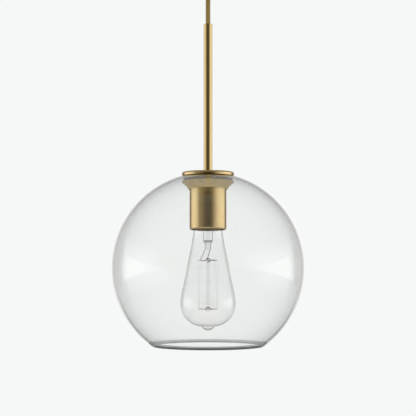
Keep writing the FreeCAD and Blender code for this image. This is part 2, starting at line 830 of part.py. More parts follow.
def bulb_skin(wall):
    """Closed solid inside the bulb's skin, set in by wall: neck, cone, round shoulder, flatter end."""
    tip = bulb_contact_top - bulb_length
    widest = tip + bulb_widest_height
    floor = tip + bulb_pip_length + wall
    most = bulb_radius - wall
    shoulder = bulb_shoulder_radius - wall
    side = most - shoulder
    rise = widest - floor
    flat = (side ** 2 + rise ** 2 - shoulder ** 2) / (2 * (rise - shoulder))
    centre = floor + flat
    lean = math.degrees(math.atan2(widest - centre, side))
    neck = bulb_neck_radius - wall
    throat = bulb_throat_radius - wall
    neck_low = base_bottom - 2.6
    cone = Part.BSplineCurve()
    drops = ((13.65, 73.5), (9.4, 50.3), (4.55, 26.0), (1.55, 10.4))
    through = [point(neck, 0, neck_low)]
    through += [point(most - inset, 0, widest + height) for inset, height in drops]
    through.append(point(most, 0, widest))
    cone.interpolate(Points=through, InitialTangent=point(0.1, 0, -1), FinalTangent=point(0, 0, -1),
                     Scale=True)
    top = point(0, 0, base_bottom + 10)
    throat_high = point(throat, 0, base_bottom + 10)
    throat_low = point(throat, 0, base_bottom + 0.4)
    flare = point(neck - 1.7, 0, base_bottom - 0.8)
    meet = on_circle(0, centre, flat, lean)
    shoulder_middle = on_circle(side, widest, shoulder, lean / 2)
    floor_middle = on_circle(0, centre, flat, (lean - 90) / 2)
    meet_point = point(meet[0], 0, meet[1])
    bottom = point(0, 0, floor)
    edges = [Part.LineSegment(top, throat_high).toShape(),
             Part.LineSegment(throat_high, throat_low).toShape(),
             Part.LineSegment(throat_low, flare).toShape(),
             Part.LineSegment(flare, through[0]).toShape(),
             cone.toShape(),
             Part.Arc(through[-1], point(shoulder_middle[0], 0, shoulder_middle[1]), meet_point).toShape(),
             Part.Arc(meet_point, point(floor_middle[0], 0, floor_middle[1]), bottom).toShape(),
             Part.LineSegment(bottom, top).toShape()]
    return Part.Face(Part.Wire(edges)).revolve(ORIGIN, UP, 360)


def bulb_glass():
    """Blown teardrop envelope with its sealed pip at the bottom, open into the base."""
    tip = bulb_contact_top - bulb_length
    pip = lathe((0, tip), (1.8, tip + 0.2, 4.2, tip + 1.9), (7.0, tip + 4.2),
                (8.8, tip + bulb_pip_length + 1.4), (0, tip + bulb_pip_length + 1.4))
    skin = bulb_skin(0.0).fuse(pip)
    cavity = bulb_skin(bulb_wall)
    chimney = rod(bulb_throat_radius - bulb_wall, base_bottom + 5, base_bottom + 11)
    return skin.cut(cavity).cut(chimney).removeSplitter()


def mount_tube():
    """Glass mount: a tube down from the neck, pinched flat round the lead wires, with a stalk."""
    high = base_bottom + 8.0
    pinch_high, pinch_low = mount_pinch_top, mount_pinch_top - mount_pinch_height
    r, w = mount_radius, mount_wall
    flare = bulb_throat_radius - bulb_wall - thread_fit
    body = lathe((flare - w, high), (flare, high), (r, high - 7), (r, pinch_high),
                 (r - 1.2, pinch_high - 2.4), (0, pinch_high - 2.4), (0, pinch_high - 0.6),
                 (r - w, pinch_high + 0.6), (r - w, high - 7.3))
    half = mount_pinch_thickness / 2
    pinch = bar(-mount_pinch_half, mount_pinch_half, -half, half, pinch_low, pinch_high - 1.0)
    stalk = rod(stalk_radius, stalk_bead, pinch_low + 0.5)
    body = body.fuse(pinch).fuse(stalk)
    leads = [Part.makeCylinder(lead_wire_radius + 0.02, mount_pinch_height + 4,
                               point(side * lead_wire_x, 0, pinch_low - 1)) for side in (-1, 1)]
    return body.cut(Part.makeCompound(leads)).removeSplitter()


def cage_place(index):
    """Place of a filament hold: even ones are in the upper ring, odd ones in the lower."""
    level = cage_low if index % 2 else cage_top
    return polar(cage_radius, cage_first_angle + index * 180.0 / cage_positions, level)


def lead_wires():
    """Two leads that come out of the pinch and carry the ends of the filament."""
    low = mount_pinch_top - mount_pinch_height
    wires = []
    for side, index in ((-1, 0), (1, 2)):
        inside = point(side * lead_wire_x, 0, mount_pinch_top - 0.8)
        foot = point(side * lead_wire_x, 0, low - 0.4)
        end = cage_place(index)
        wire = straight_wire(foot, inside, lead_wire_radius)
        wire = wire.fuse(Part.makeSphere(lead_wire_radius, foot))
        wire = wire.fuse(straight_wire(foot, end, lead_wire_radius))
        wires.append(wire.removeSplitter())
    return Part.makeCompound(wires)


def support_rod():
    """Glass rod down the middle of the bulb with a bead at each end for the support wires."""
    body = rod(support_rod_radius, cage_low, cage_top)
    for level in (cage_low, cage_top):
        body = body.fuse(Part.makeSphere(support_bead_radius, point(0, 0, level)))
    body = body.cut(rod(stalk_radius + 0.02, stalk_bead, cage_top + 5))
    spokes = [straight_wire(polar(1.5, angle, level), polar(8.0, angle, level), support_wire_radius + 0.02)
              for angle, level in spoke_places()]
    return body.cut(Part.makeCompound(spokes)).removeSplitter()


def spoke_places():
    """Angle and height of every support wire: the leads stand in for the first and last upper ones."""
    return [(cage_first_angle + index * 180.0 / cage_positions, cage_low if index % 2 else cage_top)
            for index in range(3, 2 * cage_positions)]


def support_wires():
    """Fine wires that stand out of the rod's two beads and hold the filament."""
    wires = []
    for angle, level in spoke_places():
        wires.append(straight_wire(polar(1.6, angle, level),
                                   polar(cage_radius - filament_radius - 0.02, angle, level),
                                   support_wire_radius))
    return Part.makeCompound(wires)


def filament():
    """Squirrel-cage filament: one wire up and down between the upper and lower holds."""
    holds = [cage_place(index) for index in range(2, 2 * cage_positions + 1)]
    holds[0] = holds[0] + UP * -(lead_wire_radius + filament_radius)
    holds[-1] = holds[-1] + UP * -(lead_wire_radius + filament_radius)
    wire = straight_wire(holds[0], holds[1], filament_radius)
    for here, there in zip(holds[1:], holds[2:]):
        wire = wire.fuse(Part.makeSphere(filament_radius, here))
        wire = wire.fuse(straight_wire(here, there, filament_radius))
    return wire


# ---------------------------------------------------------------- the nodes
NODES = [ceiling_canopy, mounting_crossbar, canopy_studs, canopy_cap_nuts, ground_screw,
         earth_ring_terminal, cord_grip_body, cord_grip_screw, cord_grip_washer, cord_grip_nut,
         canopy_cord, live_lead, neutral_lead, earth_lead, wire_connectors,
         supply_cord,
         stem_tube, stem_top_bushing, stem_grub_screw, stem_cord,
         shade_cap, spacer_bush, socket_cup, lock_washer, lock_nut,
         holder_bracket, holder_screws, holder_body, live_terminal, neutral_terminal,
         terminal_screws, centre_contact, screw_shell, holder_live_lead, holder_neutral_lead,
         holder_earth_lead,
         outer_gasket, glass_globe, inner_gasket, gallery_ring,
         bulb_contact, bulb_base_insulator, bulb_base_shell, bulb_glass, mount_tube,
         support_rod, lead_wires, support_wires, filament]


def main():
    os.makedirs("parts", exist_ok=True)
    for build in NODES:
        shape = build()
        shape.exportStep("parts/" + build.__name__ + ".step")


main()
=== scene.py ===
import math

import bmesh
import bpy
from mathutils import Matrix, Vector
from mathutils.geometry import interpolate_bezier


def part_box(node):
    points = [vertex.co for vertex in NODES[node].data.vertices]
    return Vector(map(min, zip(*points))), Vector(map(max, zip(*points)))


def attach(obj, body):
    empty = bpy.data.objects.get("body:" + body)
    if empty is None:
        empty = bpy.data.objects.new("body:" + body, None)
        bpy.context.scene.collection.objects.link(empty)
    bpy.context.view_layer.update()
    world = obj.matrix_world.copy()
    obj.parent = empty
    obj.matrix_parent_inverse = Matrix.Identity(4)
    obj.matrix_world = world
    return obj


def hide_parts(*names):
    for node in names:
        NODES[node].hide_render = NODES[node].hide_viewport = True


# The looks of a clear globe pendant light, built round its fixed frame. Metres, +Z up, origin in
# the middle of the face that meets the ceiling, -Y is the front.

bl_info = {
    "name": "Globe pendant light",
    "version": (1, 0, 0),
    "blender": (4, 5, 0),
    "location": "3D View > Sidebar > Pendant",
    "description": "Glass, brass, cord and lamp pieces of a clear globe pendant light",
    "category": "Object",
}

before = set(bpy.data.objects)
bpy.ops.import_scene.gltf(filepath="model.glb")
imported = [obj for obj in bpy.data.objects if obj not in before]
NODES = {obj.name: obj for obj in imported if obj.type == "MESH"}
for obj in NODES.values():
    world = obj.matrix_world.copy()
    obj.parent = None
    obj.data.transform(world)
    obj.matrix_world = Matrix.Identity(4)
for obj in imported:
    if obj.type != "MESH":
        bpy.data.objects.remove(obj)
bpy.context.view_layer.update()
MM = 0.001


# ---------------------------------------------------------------- measures of the frame
def top_of(node):
    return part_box(node)[1].z


def foot_of(node):
    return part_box(node)[0].z


def radius_of(node):
    """Half the width of a round piece; across Y, where the frame's facets reach the true size."""
    low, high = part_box(node)
    return (high.y - low.y) / 2


def sphere_centre(node):
    """Height of the middle of a round shell, from one corner of it high up and one low down."""
    spots = [(math.hypot(v.co.x, v.co.y), v.co.z) for v in NODES[node].data.vertices]
    high = max(spots, key=lambda spot: spot[0] + spot[1])
    low = max(spots, key=lambda spot: spot[0] - spot[1])
    return (math.hypot(*high) ** 2 - math.hypot(*low) ** 2) / (2 * (high[1] - low[1]))


GLOBE_RADIUS = radius_of("glass_globe")
GLOBE_CENTRE = sphere_centre("glass_globe")
BULB_RADIUS = radius_of("bulb_glass")
BULB_TIP = foot_of("bulb_glass")


# ---------------------------------------------------------------- sizes and colours
class StudioSizes(bpy.types.PropertyGroup):
    """The stage, its light and the camera."""
    camera_distance: bpy.props.FloatProperty(
        name="Camera distance", description="From the light's axis to the lens",
        default=12.0, unit="LENGTH")
    camera_below: bpy.props.FloatProperty(
        name="Camera below globe", description="How far the lens is below the middle of the globe",
        default=0.969, unit="LENGTH")
    aim_above: bpy.props.FloatProperty(
        name="Aim above globe", description="Height above the middle of the globe that the lens points at",
        default=0.0697, unit="LENGTH")
    lens: bpy.props.FloatProperty(
        name="Lens", description="Focal length on a 36 mm wide sensor", default=902.5, unit="CAMERA")
    floor_drop: bpy.props.FloatProperty(
        name="Floor below globe", description="From the rim of the globe down to the floor",
        default=1.6, unit="LENGTH")
    floor_radius: bpy.props.FloatProperty(
        name="Floor radius", description="Half the width of the round floor", default=20.0, unit="LENGTH")
    floor_colour: bpy.props.FloatVectorProperty(
        name="Floor colour", description="Plain pale floor", default=(0.60, 0.60, 0.59), subtype="COLOR")
    backdrop: bpy.props.FloatVectorProperty(
        name="Backdrop", description="Pale backdrop seen past the light and through its glass",
        default=(0.922, 0.938, 0.930), subtype="COLOR")
    room_tone: bpy.props.FloatVectorProperty(
        name="Room tone", description="Tint of the studio that the metal mirrors",
        default=(1.0, 0.99, 0.97), subtype="COLOR")
    overhead: bpy.props.FloatProperty(
        name="Overhead", description="Brightness of the studio's ceiling", default=0.30)
    underfoot: bpy.props.FloatProperty(
        name="Underfoot", description="Brightness of the studio below the walls", default=0.38)
    glass_fill: bpy.props.FloatProperty(
        name="Glass fill", description="How far the backdrop fills the edges of the glass", default=0.8,
        subtype="FACTOR")
    shadow_tone: bpy.props.FloatVectorProperty(
        name="Shadow tone", description="Tint of the studio's dark side, that the metal mirrors",
        default=(1.0, 0.80, 0.36), subtype="COLOR")
    softbox_power: bpy.props.FloatProperty(
        name="Softbox power", description="Watts of each side softbox", default=3.0)


class GlassSizes(bpy.types.PropertyGroup):
    """The blown glass of the globe and the bulb."""
    globe_wall: bpy.props.FloatProperty(
        name="Globe wall", description="Thickness of the globe's glass", default=3.0 * MM, unit="LENGTH")
    neck_radius: bpy.props.FloatProperty(
        name="Neck hole", description="Radius of the ground hole in the top of the globe",
        default=24.6 * MM, unit="LENGTH")
    bulb_wall: bpy.props.FloatProperty(
        name="Bulb wall", description="Thickness of the bulb's glass", default=0.8 * MM, unit="LENGTH")
    bulb_neck: bpy.props.FloatProperty(
        name="Bulb neck", description="Radius of the bulb just below its base",
        default=16.6 * MM, unit="LENGTH")
    widest_height: bpy.props.FloatProperty(
        name="Widest height", description="Height of the bulb's widest place above its tip",
        default=30.4 * MM, unit="LENGTH")
    shoulder_radius: bpy.props.FloatProperty(
        name="Shoulder", description="Radius of the round between the bulb's side and its end",
        default=26.0 * MM, unit="LENGTH")
    pip_length: bpy.props.FloatProperty(
        name="Pip", description="Length of the sealed pip at the bulb's tip", default=3.8 * MM,
        unit="LENGTH")
    globe_tint: bpy.props.FloatVectorProperty(
        name="Globe tint", description="Colour that thick glass in the globe lets through",
        default=(0.72, 0.86, 0.77), subtype="COLOR")
    tint_density: bpy.props.FloatProperty(
        name="Tint density", description="How strongly a metre of the globe's glass is tinted", default=9.0)
    refraction: bpy.props.FloatProperty(
        name="Refraction", description="Index of refraction of the glass", default=1.45)


class LampSizes(bpy.types.PropertyGroup):
    """The filament in the bulb."""
    wire_radius: bpy.props.FloatProperty(
        name="Filament wire", description="Half the thickness of the coiled wire", default=0.035 * MM,
        unit="LENGTH")
    positions: bpy.props.IntProperty(
        name="Cage positions", description="Upper holds of the filament", default=8)
    first_angle: bpy.props.FloatProperty(
        name="First hold", description="Angle of the first upper hold, in degrees", default=221.0)


class MetalColours(bpy.types.PropertyGroup):
    """Lacquered brass of the visible fittings."""
    brass: bpy.props.FloatVectorProperty(
        name="Brass", description="Satin brass of the cap, rod, cup, ring and canopy",
        default=(0.82, 0.64, 0.34), subtype="COLOR")
    brass_deep: bpy.props.FloatVectorProperty(
        name="Brass tarnish", description="Slightly darker brass that the first colour drifts to",
        default=(0.75, 0.56, 0.27), subtype="COLOR")
    satin: bpy.props.FloatProperty(
        name="Satin", description="Roughness of the brushed brass", default=0.15, subtype="FACTOR")


class CordColours(bpy.types.PropertyGroup):
    """The braided cord."""
    gold: bpy.props.FloatVectorProperty(
        name="Gold thread", description="Light threads of the braid", default=(0.84, 0.60, 0.21),
        subtype="COLOR")
    # Painted shade: the darker colour given to the braid's gaps between threads, in place of the shade that
    # falls there.
    bronze: bpy.props.FloatVectorProperty(
        name="Bronze thread", description="Dark gaps of the braid", default=(0.56, 0.38, 0.12),
        subtype="COLOR")
    diameter: bpy.props.FloatProperty(
        name="Cord diameter", description="Over the braid", default=5.4 * MM, unit="LENGTH")


# ---------------------------------------------------------------- mesh helpers
def arc(centre, radius, start, end, steps):
    """Points (r, z) along an arc, from start to end in degrees."""
    turns = [math.radians(start + (end - start) * i / steps) for i in range(steps + 1)]
    return [(centre[0] + radius * math.cos(a), centre[1] + radius * math.sin(a)) for a in turns]


def finish_mesh(bm, name, smooth_below=35.0):
    """Make the piece from its bmesh: doubles merged, faces outwards, creases kept sharp."""
    bmesh.ops.remove_doubles(bm, verts=bm.verts, dist=1e-6)
    bmesh.ops.recalc_face_normals(bm, faces=bm.faces)
    mesh = bpy.data.meshes.new(name)
    bm.to_mesh(mesh)
    bm.free()
    mesh.polygons.foreach_set("use_smooth", [True] * len(mesh.polygons))
    mesh.set_sharp_from_angle(angle=math.radians(smooth_below))
    piece = bpy.data.objects.new(name, mesh)
    bpy.context.scene.collection.objects.link(piece)
    return piece


def spin_outline(bm, outline, steps, closed=True):
    """Spin an outline of (radius, height) points about Z; points on the axis close a piece."""
    verts = [bm.verts.new((r, 0.0, z)) for r, z in outline]
    after = verts[1:] + verts[:1] if closed else verts[1:]
    edges = [bm.edges.new(pair) for pair in zip(verts, after)]
    bmesh.ops.spin(bm, geom=verts + edges, cent=(0, 0, 0), axis=(0, 0, 1), dvec=(0, 0, 0),
                   angle=math.tau, steps=steps, use_merge=True, use_duplicate=False)


def turned(name, outline, steps=128, smooth_below=35.0):
    bm = bmesh.new()
    spin_outline(bm, outline, steps)
    return finish_mesh(bm, name, smooth_below)


def dress(piece, material, body, slot, *replaced):
    """Give a finished piece its material and body, and hide the frame nodes that it stands for. The slot is not
    used.
    """
    piece.data.materials.clear()
    piece.data.materials.append(material)
    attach(piece, body)
    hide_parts(*replaced)
    return piece


# ---------------------------------------------------------------- shader helpers
def add_node(tree, kind, sockets=None, **settings):
    """Add a node; a socket is given another node's output or a plain value."""
    made = tree.nodes.new(kind)
    for key, value in settings.items():
        setattr(made, key, value)
    for key, value in (sockets or {}).items():
        if isinstance(value, bpy.types.NodeSocket):
            tree.links.new(value, made.inputs[key])
        else:
            made.inputs[key].default_value = value
    return made


def maths(tree, operation, *values):
    return add_node(tree, "ShaderNodeMath", dict(enumerate(values)), operation=operation).outputs[0]


def blend_colour(tree, share, first, second):
    """Mix two colours by a share that changes over the surface."""
    made = add_node(tree, "ShaderNodeMix", data_type="RGBA")
    for index, value in ((0, share), (6, first), (7, second)):
        if isinstance(value, bpy.types.NodeSocket):
            tree.links.new(value, made.inputs[index])
        else:
            made.inputs[index].default_value = value
    return made.outputs[2]


def spread(tree, value, low, high):
    """Map a 0 to 1 value onto low to high."""
    return add_node(tree, "ShaderNodeMapRange", {"Value": value, "To Min": low, "To Max": high}).outputs[0]


def opaque(colour):
    return (colour[0], colour[1], colour[2], 1.0)


def new_group(name, inputs, outputs):
    """An empty shader node group: inputs are (name, kind, default), outputs are (name, kind)."""
    group = bpy.data.node_groups.new(name, "ShaderNodeTree")
    for label, kind, default in inputs:
        socket = group.interface.new_socket(label, in_out="INPUT", socket_type=kind)
        socket.default_value = default
    for label, kind in outputs:
        group.interface.new_socket(label, in_out="OUTPUT", socket_type=kind)
    return group, group.nodes.new("NodeGroupInput"), group.nodes.new("NodeGroupOutput")


def place_group(tree, name, sockets=None):
    made = add_node(tree, "ShaderNodeGroup", node_tree=bpy.data.node_groups[name])
    for key, value in (sockets or {}).items():
        made.inputs[key].default_value = value
    return made


def turned_lines_group():
    """Fine lines that a lathe or a brushing wheel leaves round the Z axis."""
    group, given, result = new_group(
        "turned_lines",
        [("Lines per metre", "NodeSocketFloat", 2500.0), ("Depth", "NodeSocketFloat", 0.02)],
        [("Lines", "NodeSocketFloat"), ("Normal", "NodeSocketVector")])
    place = add_node(group, "ShaderNodeTexCoord").outputs["Object"]
    axes = add_node(group, "ShaderNodeSeparateXYZ", {0: place}).outputs
    radius = maths(group, "SQRT", maths(group, "ADD", maths(group, "MULTIPLY", axes[0], axes[0]),
                                        maths(group, "MULTIPLY", axes[1], axes[1])))
    safe = maths(group, "MAXIMUM", radius, 1e-5)
    scale = given.outputs["Lines per metre"]
    spot = add_node(group, "ShaderNodeCombineXYZ", {
        0: maths(group, "DIVIDE", axes[0], safe), 1: maths(group, "DIVIDE", axes[1], safe),
        2: maths(group, "MULTIPLY", axes[2], scale)}).outputs[0]
    noise = add_node(group, "ShaderNodeTexNoise", {
        "Vector": spot, "W": maths(group, "MULTIPLY", radius, scale), "Scale": 1.0, "Detail": 3.0,
        "Roughness": 0.6}, noise_dimensions="4D").outputs[0]
    bump = add_node(group, "ShaderNodeBump", {
        "Height": noise, "Strength": given.outputs["Depth"], "Distance": 0.0004}).outputs[0]
    group.links.new(noise, result.inputs["Lines"])
    group.links.new(bump, result.inputs["Normal"])


def patches_group():
    """Soft uneven patches: a breath of dust, lacquer drift or handling, from 0 to 1."""
    group, given, result = new_group(
        "patches",
        [("Patches per metre", "NodeSocketFloat", 40.0), ("Contrast", "NodeSocketFloat", 1.0)],
        [("Patch", "NodeSocketFloat")])
    place = add_node(group, "ShaderNodeTexCoord").outputs["Object"]
    noise = add_node(group, "ShaderNodeTexNoise", {
        "Vector": place, "Scale": given.outputs["Patches per metre"], "Detail": 4.0,
        "Roughness": 0.55, "Distortion": 0.3}).outputs[0]
    centred = maths(group, "SUBTRACT", noise, 0.5)
    stretched = maths(group, "MULTIPLY_ADD", centred, given.outputs["Contrast"], 0.5)
    clamped = add_node(group, "ShaderNodeClamp", {"Value": stretched}).outputs[0]
    group.links.new(clamped, result.inputs["Patch"])


def fine_grain_group():
    """Fine grain with its bump, for cast, moulded and plated surfaces."""
    group, given, result = new_group(
        "fine_grain",
        [("Grains per metre", "NodeSocketFloat", 3000.0), ("Depth", "NodeSocketFloat", 0.1)],
        [("Grain", "NodeSocketFloat"), ("Normal", "NodeSocketVector")])
    place = add_node(group, "ShaderNodeTexCoord").outputs["Object"]
    noise = add_node(group, "ShaderNodeTexNoise", {
        "Vector": place, "Scale": given.outputs["Grains per metre"], "Detail": 2.0}).outputs[0]
    bump = add_node(group, "ShaderNodeBump", {
        "Height": noise, "Strength": given.outputs["Depth"], "Distance": 0.0003}).outputs[0]
    group.links.new(noise, result.inputs["Grain"])
    group.links.new(bump, result.inputs["Normal"])


def braid_group():
    """A braid round the Z axis: two sets of helical threads that pass over and under."""
    group, given, result = new_group(
        "braid",
        [("Threads", "NodeSocketFloat", 16.0), ("Pitch", "NodeSocketFloat", 0.012),
         ("Depth", "NodeSocketFloat", 0.5)],
        [("Thread", "NodeSocketFloat"), ("Sheen", "NodeSocketFloat"), ("Normal", "NodeSocketVector")])
    place = add_node(group, "ShaderNodeTexCoord").outputs["Object"]
    axes = add_node(group, "ShaderNodeSeparateXYZ", {0: place}).outputs
    angle = maths(group, "DIVIDE", maths(group, "ARCTAN2", axes[1], axes[0]), math.tau)
    climb = maths(group, "DIVIDE", axes[2], given.outputs["Pitch"])
    half = maths(group, "MULTIPLY", given.outputs["Threads"], 0.5)
    left = maths(group, "MULTIPLY", maths(group, "ADD", angle, climb), half)
    right = maths(group, "MULTIPLY", maths(group, "SUBTRACT", angle, climb), half)
    ridge_left = maths(group, "ABSOLUTE", maths(group, "SINE", maths(group, "MULTIPLY", left, math.pi)))
    ridge_right = maths(group, "ABSOLUTE", maths(group, "SINE", maths(group, "MULTIPLY", right, math.pi)))
    over = maths(group, "SINE", maths(group, "MULTIPLY", maths(group, "ADD", left, right), math.pi))
    pick = maths(group, "GREATER_THAN", over, 0.0)
    stay = maths(group, "SUBTRACT", 1.0, pick)
    thread = maths(group, "ADD", maths(group, "MULTIPLY", ridge_left, pick),
                   maths(group, "MULTIPLY", ridge_right, stay))
    fibre = add_node(group, "ShaderNodeTexNoise", {"Vector": place, "Scale": 9000.0, "Detail": 2.0}).outputs[0]
    height = maths(group, "MULTIPLY_ADD", fibre, 0.25, thread)
    bump = add_node(group, "ShaderNodeBump", {
        "Height": height, "Strength": given.outputs["Depth"], "Distance": 0.0003}).outputs[0]
    group.links.new(thread, result.inputs["Thread"])
    group.links.new(fibre, result.inputs["Sheen"])
    group.links.new(bump, result.inputs["Normal"])


# ---------------------------------------------------------------- materials
def blank_material(name):
    """A material with a Principled shader; any material of that name from the frame is renamed."""
    old = bpy.data.materials.get(name)
    if old:
        old.name = name + "_frame"
    material = bpy.data.materials.new(name)
    material.use_nodes = True
    return material, material.node_tree, material.node_tree.nodes["Principled BSDF"]


def set_plain(shader, **values):
    """Set plain values on the shader's own sockets; underscores stand for spaces."""
    for key, value in values.items():
        shader.inputs[key.replace("_", " ")].default_value = value


def turned_metal(name, colour, drift, roughness, lines=2500.0, depth=0.004, patches=35.0):
    """A metal turned or brushed round the Z axis, with a slow drift of colour and gloss."""
    material, tree, shader = blank_material(name)
    set_plain(shader, Metallic=1.0)
    grain = place_group(tree, "turned_lines", {"Lines per metre": lines, "Depth": depth})
    patch = place_group(tree, "patches", {"Patches per metre": patches, "Contrast": 1.6}).outputs[0]
    mixed = blend_colour(tree, patch, opaque(colour), opaque(drift))
    streaked = blend_colour(tree, spread(tree, grain.outputs["Lines"], 0.0, 0.1), mixed, opaque(drift))
    uneven = maths(tree, "MULTIPLY_ADD", patch, 0.07, roughness - 0.035)
    gloss = maths(tree, "MULTIPLY_ADD", grain.outputs["Lines"], 0.08, maths(tree, "SUBTRACT", uneven, 0.04))
    tree.links.new(streaked, shader.inputs["Base Color"])
    tree.links.new(gloss, shader.inputs["Roughness"])
    tree.links.new(grain.outputs["Normal"], shader.inputs["Normal"])
    return material


def grained(name, colour, drift, roughness, metallic=0.0, grains=3000.0, depth=0.1, patches=60.0, **plain):
    """A cast, plated or moulded finish: fine grain, and a slow drift of colour and gloss."""
    material, tree, shader = blank_material(name)
    set_plain(shader, Metallic=metallic, **plain)
    grain = place_group(tree, "fine_grain", {"Grains per metre": grains, "Depth": depth})
    patch = place_group(tree, "patches", {"Patches per metre": patches, "Contrast": 1.5}).outputs[0]
    tree.links.new(blend_colour(tree, patch, opaque(colour), opaque(drift)), shader.inputs["Base Color"])
    tree.links.new(maths(tree, "MULTIPLY_ADD", patch, 0.1, roughness - 0.05), shader.inputs["Roughness"])
    tree.links.new(grain.outputs["Normal"], shader.inputs["Normal"])
    return material


def satin_brass(colours):
    return turned_metal("satin_brass", colours.brass, colours.brass_deep, colours.satin)


def earth_core():
    """Green insulation with two yellow stripes that follow the core."""
    material, tree, shader = blank_material("core_earth")
    set_plain(shader, Roughness=0.42)
    place = add_node(tree, "ShaderNodeTexCoord").outputs["Object"]
    axes = add_node(tree, "ShaderNodeSeparateXYZ", {0: place}).outputs
    stripe = maths(tree, "GREATER_THAN", maths(tree, "SINE", maths(tree, "MULTIPLY", axes[1], 5000.0)), 0.1)
    tree.links.new(blend_colour(tree, stripe, (0.03, 0.22, 0.05, 1), (0.75, 0.55, 0.03, 1)),
                   shader.inputs["Base Color"])
    grain = place_group(tree, "fine_grain", {"Grains per metre": 2500.0, "Depth": 0.05})
    tree.links.new(grain.outputs["Normal"], shader.inputs["Normal"])
    return material


def gold_braid(colours):
    """Lustrous gold thread, with painted shade in the gaps: the colour darkens towards each thread's edge,
    where the braid sinks.
    """
    material, tree, shader = blank_material("cord_braid")
    set_plain(shader, Metallic=0.0, Sheen_Weight=0.1, Sheen_Roughness=0.4,
              Sheen_Tint=(1.0, 0.85, 0.55, 1.0))
    weave = place_group(tree, "braid", {"Threads": 32.0, "Pitch": 0.016, "Depth": 0.35})
    # Painted shade: the colour runs from the gap shade at each thread's edge to gold on its crest, following
    # the weave's height.
    share = spread(tree, weave.outputs["Thread"], 0.0, 1.0)
    tree.links.new(blend_colour(tree, share, opaque(colours.bronze), opaque(colours.gold)),
                   shader.inputs["Base Color"])
    tree.links.new(spread(tree, weave.outputs["Sheen"], 0.35, 0.6), shader.inputs["Roughness"])
    tree.links.new(weave.outputs["Normal"], shader.inputs["Normal"])
    return material


def clear_glass(name, refraction, ripple, tint=None, density=0.0):
    """Blown glass: a faint ripple in its surface, and a tint that builds up in thick places."""
    material, tree, shader = blank_material(name)
    set_plain(shader, Transmission_Weight=1.0, IOR=refraction, Roughness=0.0,
              Base_Color=(1.0, 1.0, 1.0, 1.0))
    place = add_node(tree, "ShaderNodeTexCoord").outputs["Object"]
    waves = add_node(tree, "ShaderNodeTexNoise", {"Vector": place, "Scale": 22.0, "Detail": 1.0}).outputs[0]
    bump = add_node(tree, "ShaderNodeBump", {"Height": waves, "Strength": ripple, "Distance": 0.001}).outputs[0]
    tree.links.new(bump, shader.inputs["Normal"])
    if tint:
        body = add_node(tree, "ShaderNodeVolumeAbsorption", {"Color": opaque(tint), "Density": density})
        tree.links.new(body.outputs[0], tree.nodes["Material Output"].inputs["Volume"])
    return material


def polished_rim():
    """The fire-polished rim: the same glass, with enough bloom to catch the light."""
    material = clear_glass("rim_glass", 1.45, 0.003)
    set_plain(material.node_tree.nodes["Principled BSDF"], Transmission_Weight=0.55, Roughness=0.12,
              Base_Color=(0.70, 0.74, 0.71, 1.0))
    return material


def silicone():
    """Water-clear silicone, a little milky."""
    material = grained("silicone", (0.62, 0.66, 0.59), (0.56, 0.60, 0.53), 0.16, depth=0.02)
    set_plain(material.node_tree.nodes["Principled BSDF"], Transmission_Weight=0.9, IOR=1.41)
    return material


def porcelain():
    material = grained("porcelain", (0.80, 0.79, 0.75), (0.74, 0.73, 0.69), 0.22, grains=600.0, depth=0.03)
    set_plain(material.node_tree.nodes["Principled BSDF"], Coat_Weight=0.6, Coat_Roughness=0.06)
    return material


def make_materials(scene):
    """Every finish of the light, by the name of its slot."""
    for make_group in (turned_lines_group, patches_group, fine_grain_group, braid_group):
        make_group()
    metal, glass, cord = scene.pendant_metal, scene.pendant_glass, scene.pendant_cord
    made = [
        satin_brass(metal),
        turned_metal("plain_brass", (0.78, 0.56, 0.25), (0.66, 0.45, 0.19), 0.32),
        turned_metal("base_metal", (0.72, 0.62, 0.40), (0.60, 0.50, 0.30), 0.30),
        grained("zinc_steel", (0.62, 0.63, 0.66), (0.50, 0.51, 0.55), 0.34, metallic=1.0),
        grained("tinned_copper", (0.70, 0.69, 0.66), (0.58, 0.55, 0.50), 0.3, metallic=1.0),
        grained("earth_green", (0.05, 0.30, 0.10), (0.04, 0.22, 0.08), 0.35, metallic=0.7),
        grained("contact_bronze", (0.74, 0.46, 0.24), (0.62, 0.36, 0.18), 0.3, metallic=1.0),
        gold_braid(cord),
        grained("core_brown", (0.13, 0.05, 0.02), (0.10, 0.04, 0.015), 0.42, depth=0.05),
        grained("core_blue", (0.02, 0.09, 0.35), (0.015, 0.07, 0.28), 0.42, depth=0.05),
        earth_core(),
        grained("connector_plastic", (0.75, 0.22, 0.03), (0.66, 0.18, 0.02), 0.4, depth=0.12),
        porcelain(),
        silicone(),
        clear_glass("globe_glass", glass.refraction, 0.003, glass.globe_tint, glass.tint_density),
        polished_rim(),
        clear_glass("bulb_glass_clear", glass.refraction, 0.002),
        clear_glass("stem_glass", glass.refraction, 0.01, (0.6, 0.6, 0.58), 60.0),
        grained("base_black_glass", (0.02, 0.02, 0.03), (0.03, 0.03, 0.04), 0.12, depth=0.04),
        grained("solder", (0.62, 0.62, 0.62), (0.50, 0.50, 0.51), 0.32, metallic=1.0, grains=900.0, depth=0.3),
        grained("nickel_wire", (0.60, 0.58, 0.55), (0.48, 0.46, 0.43), 0.3, metallic=1.0, depth=0.05),
        grained("tungsten", (0.80, 0.78, 0.74), (0.70, 0.68, 0.64), 0.5, metallic=1.0, depth=0.05),
    ]
    return {material.name: material for material in made}


def finish_named(name):
    return bpy.data.materials[name]


# ---------------------------------------------------------------- operators
class PENDANT_OT_finishes(bpy.types.Operator):
    """Make every finish and give it to the frame's own pieces."""
    bl_idname = "pendant.finishes"
    bl_label = "Finishes"

    def execute(self, context):
        made = make_materials(context.scene)
        for node in NODES.values():
            for slot in node.material_slots:
                wanted = slot.material.name.removesuffix("_frame").split(".")[0]
                slot.material = made[wanted]
        for name in ("support_rod", "mount_tube"):
            NODES[name].material_slots[0].material = made["stem_glass"]
        return {"FINISHED"}


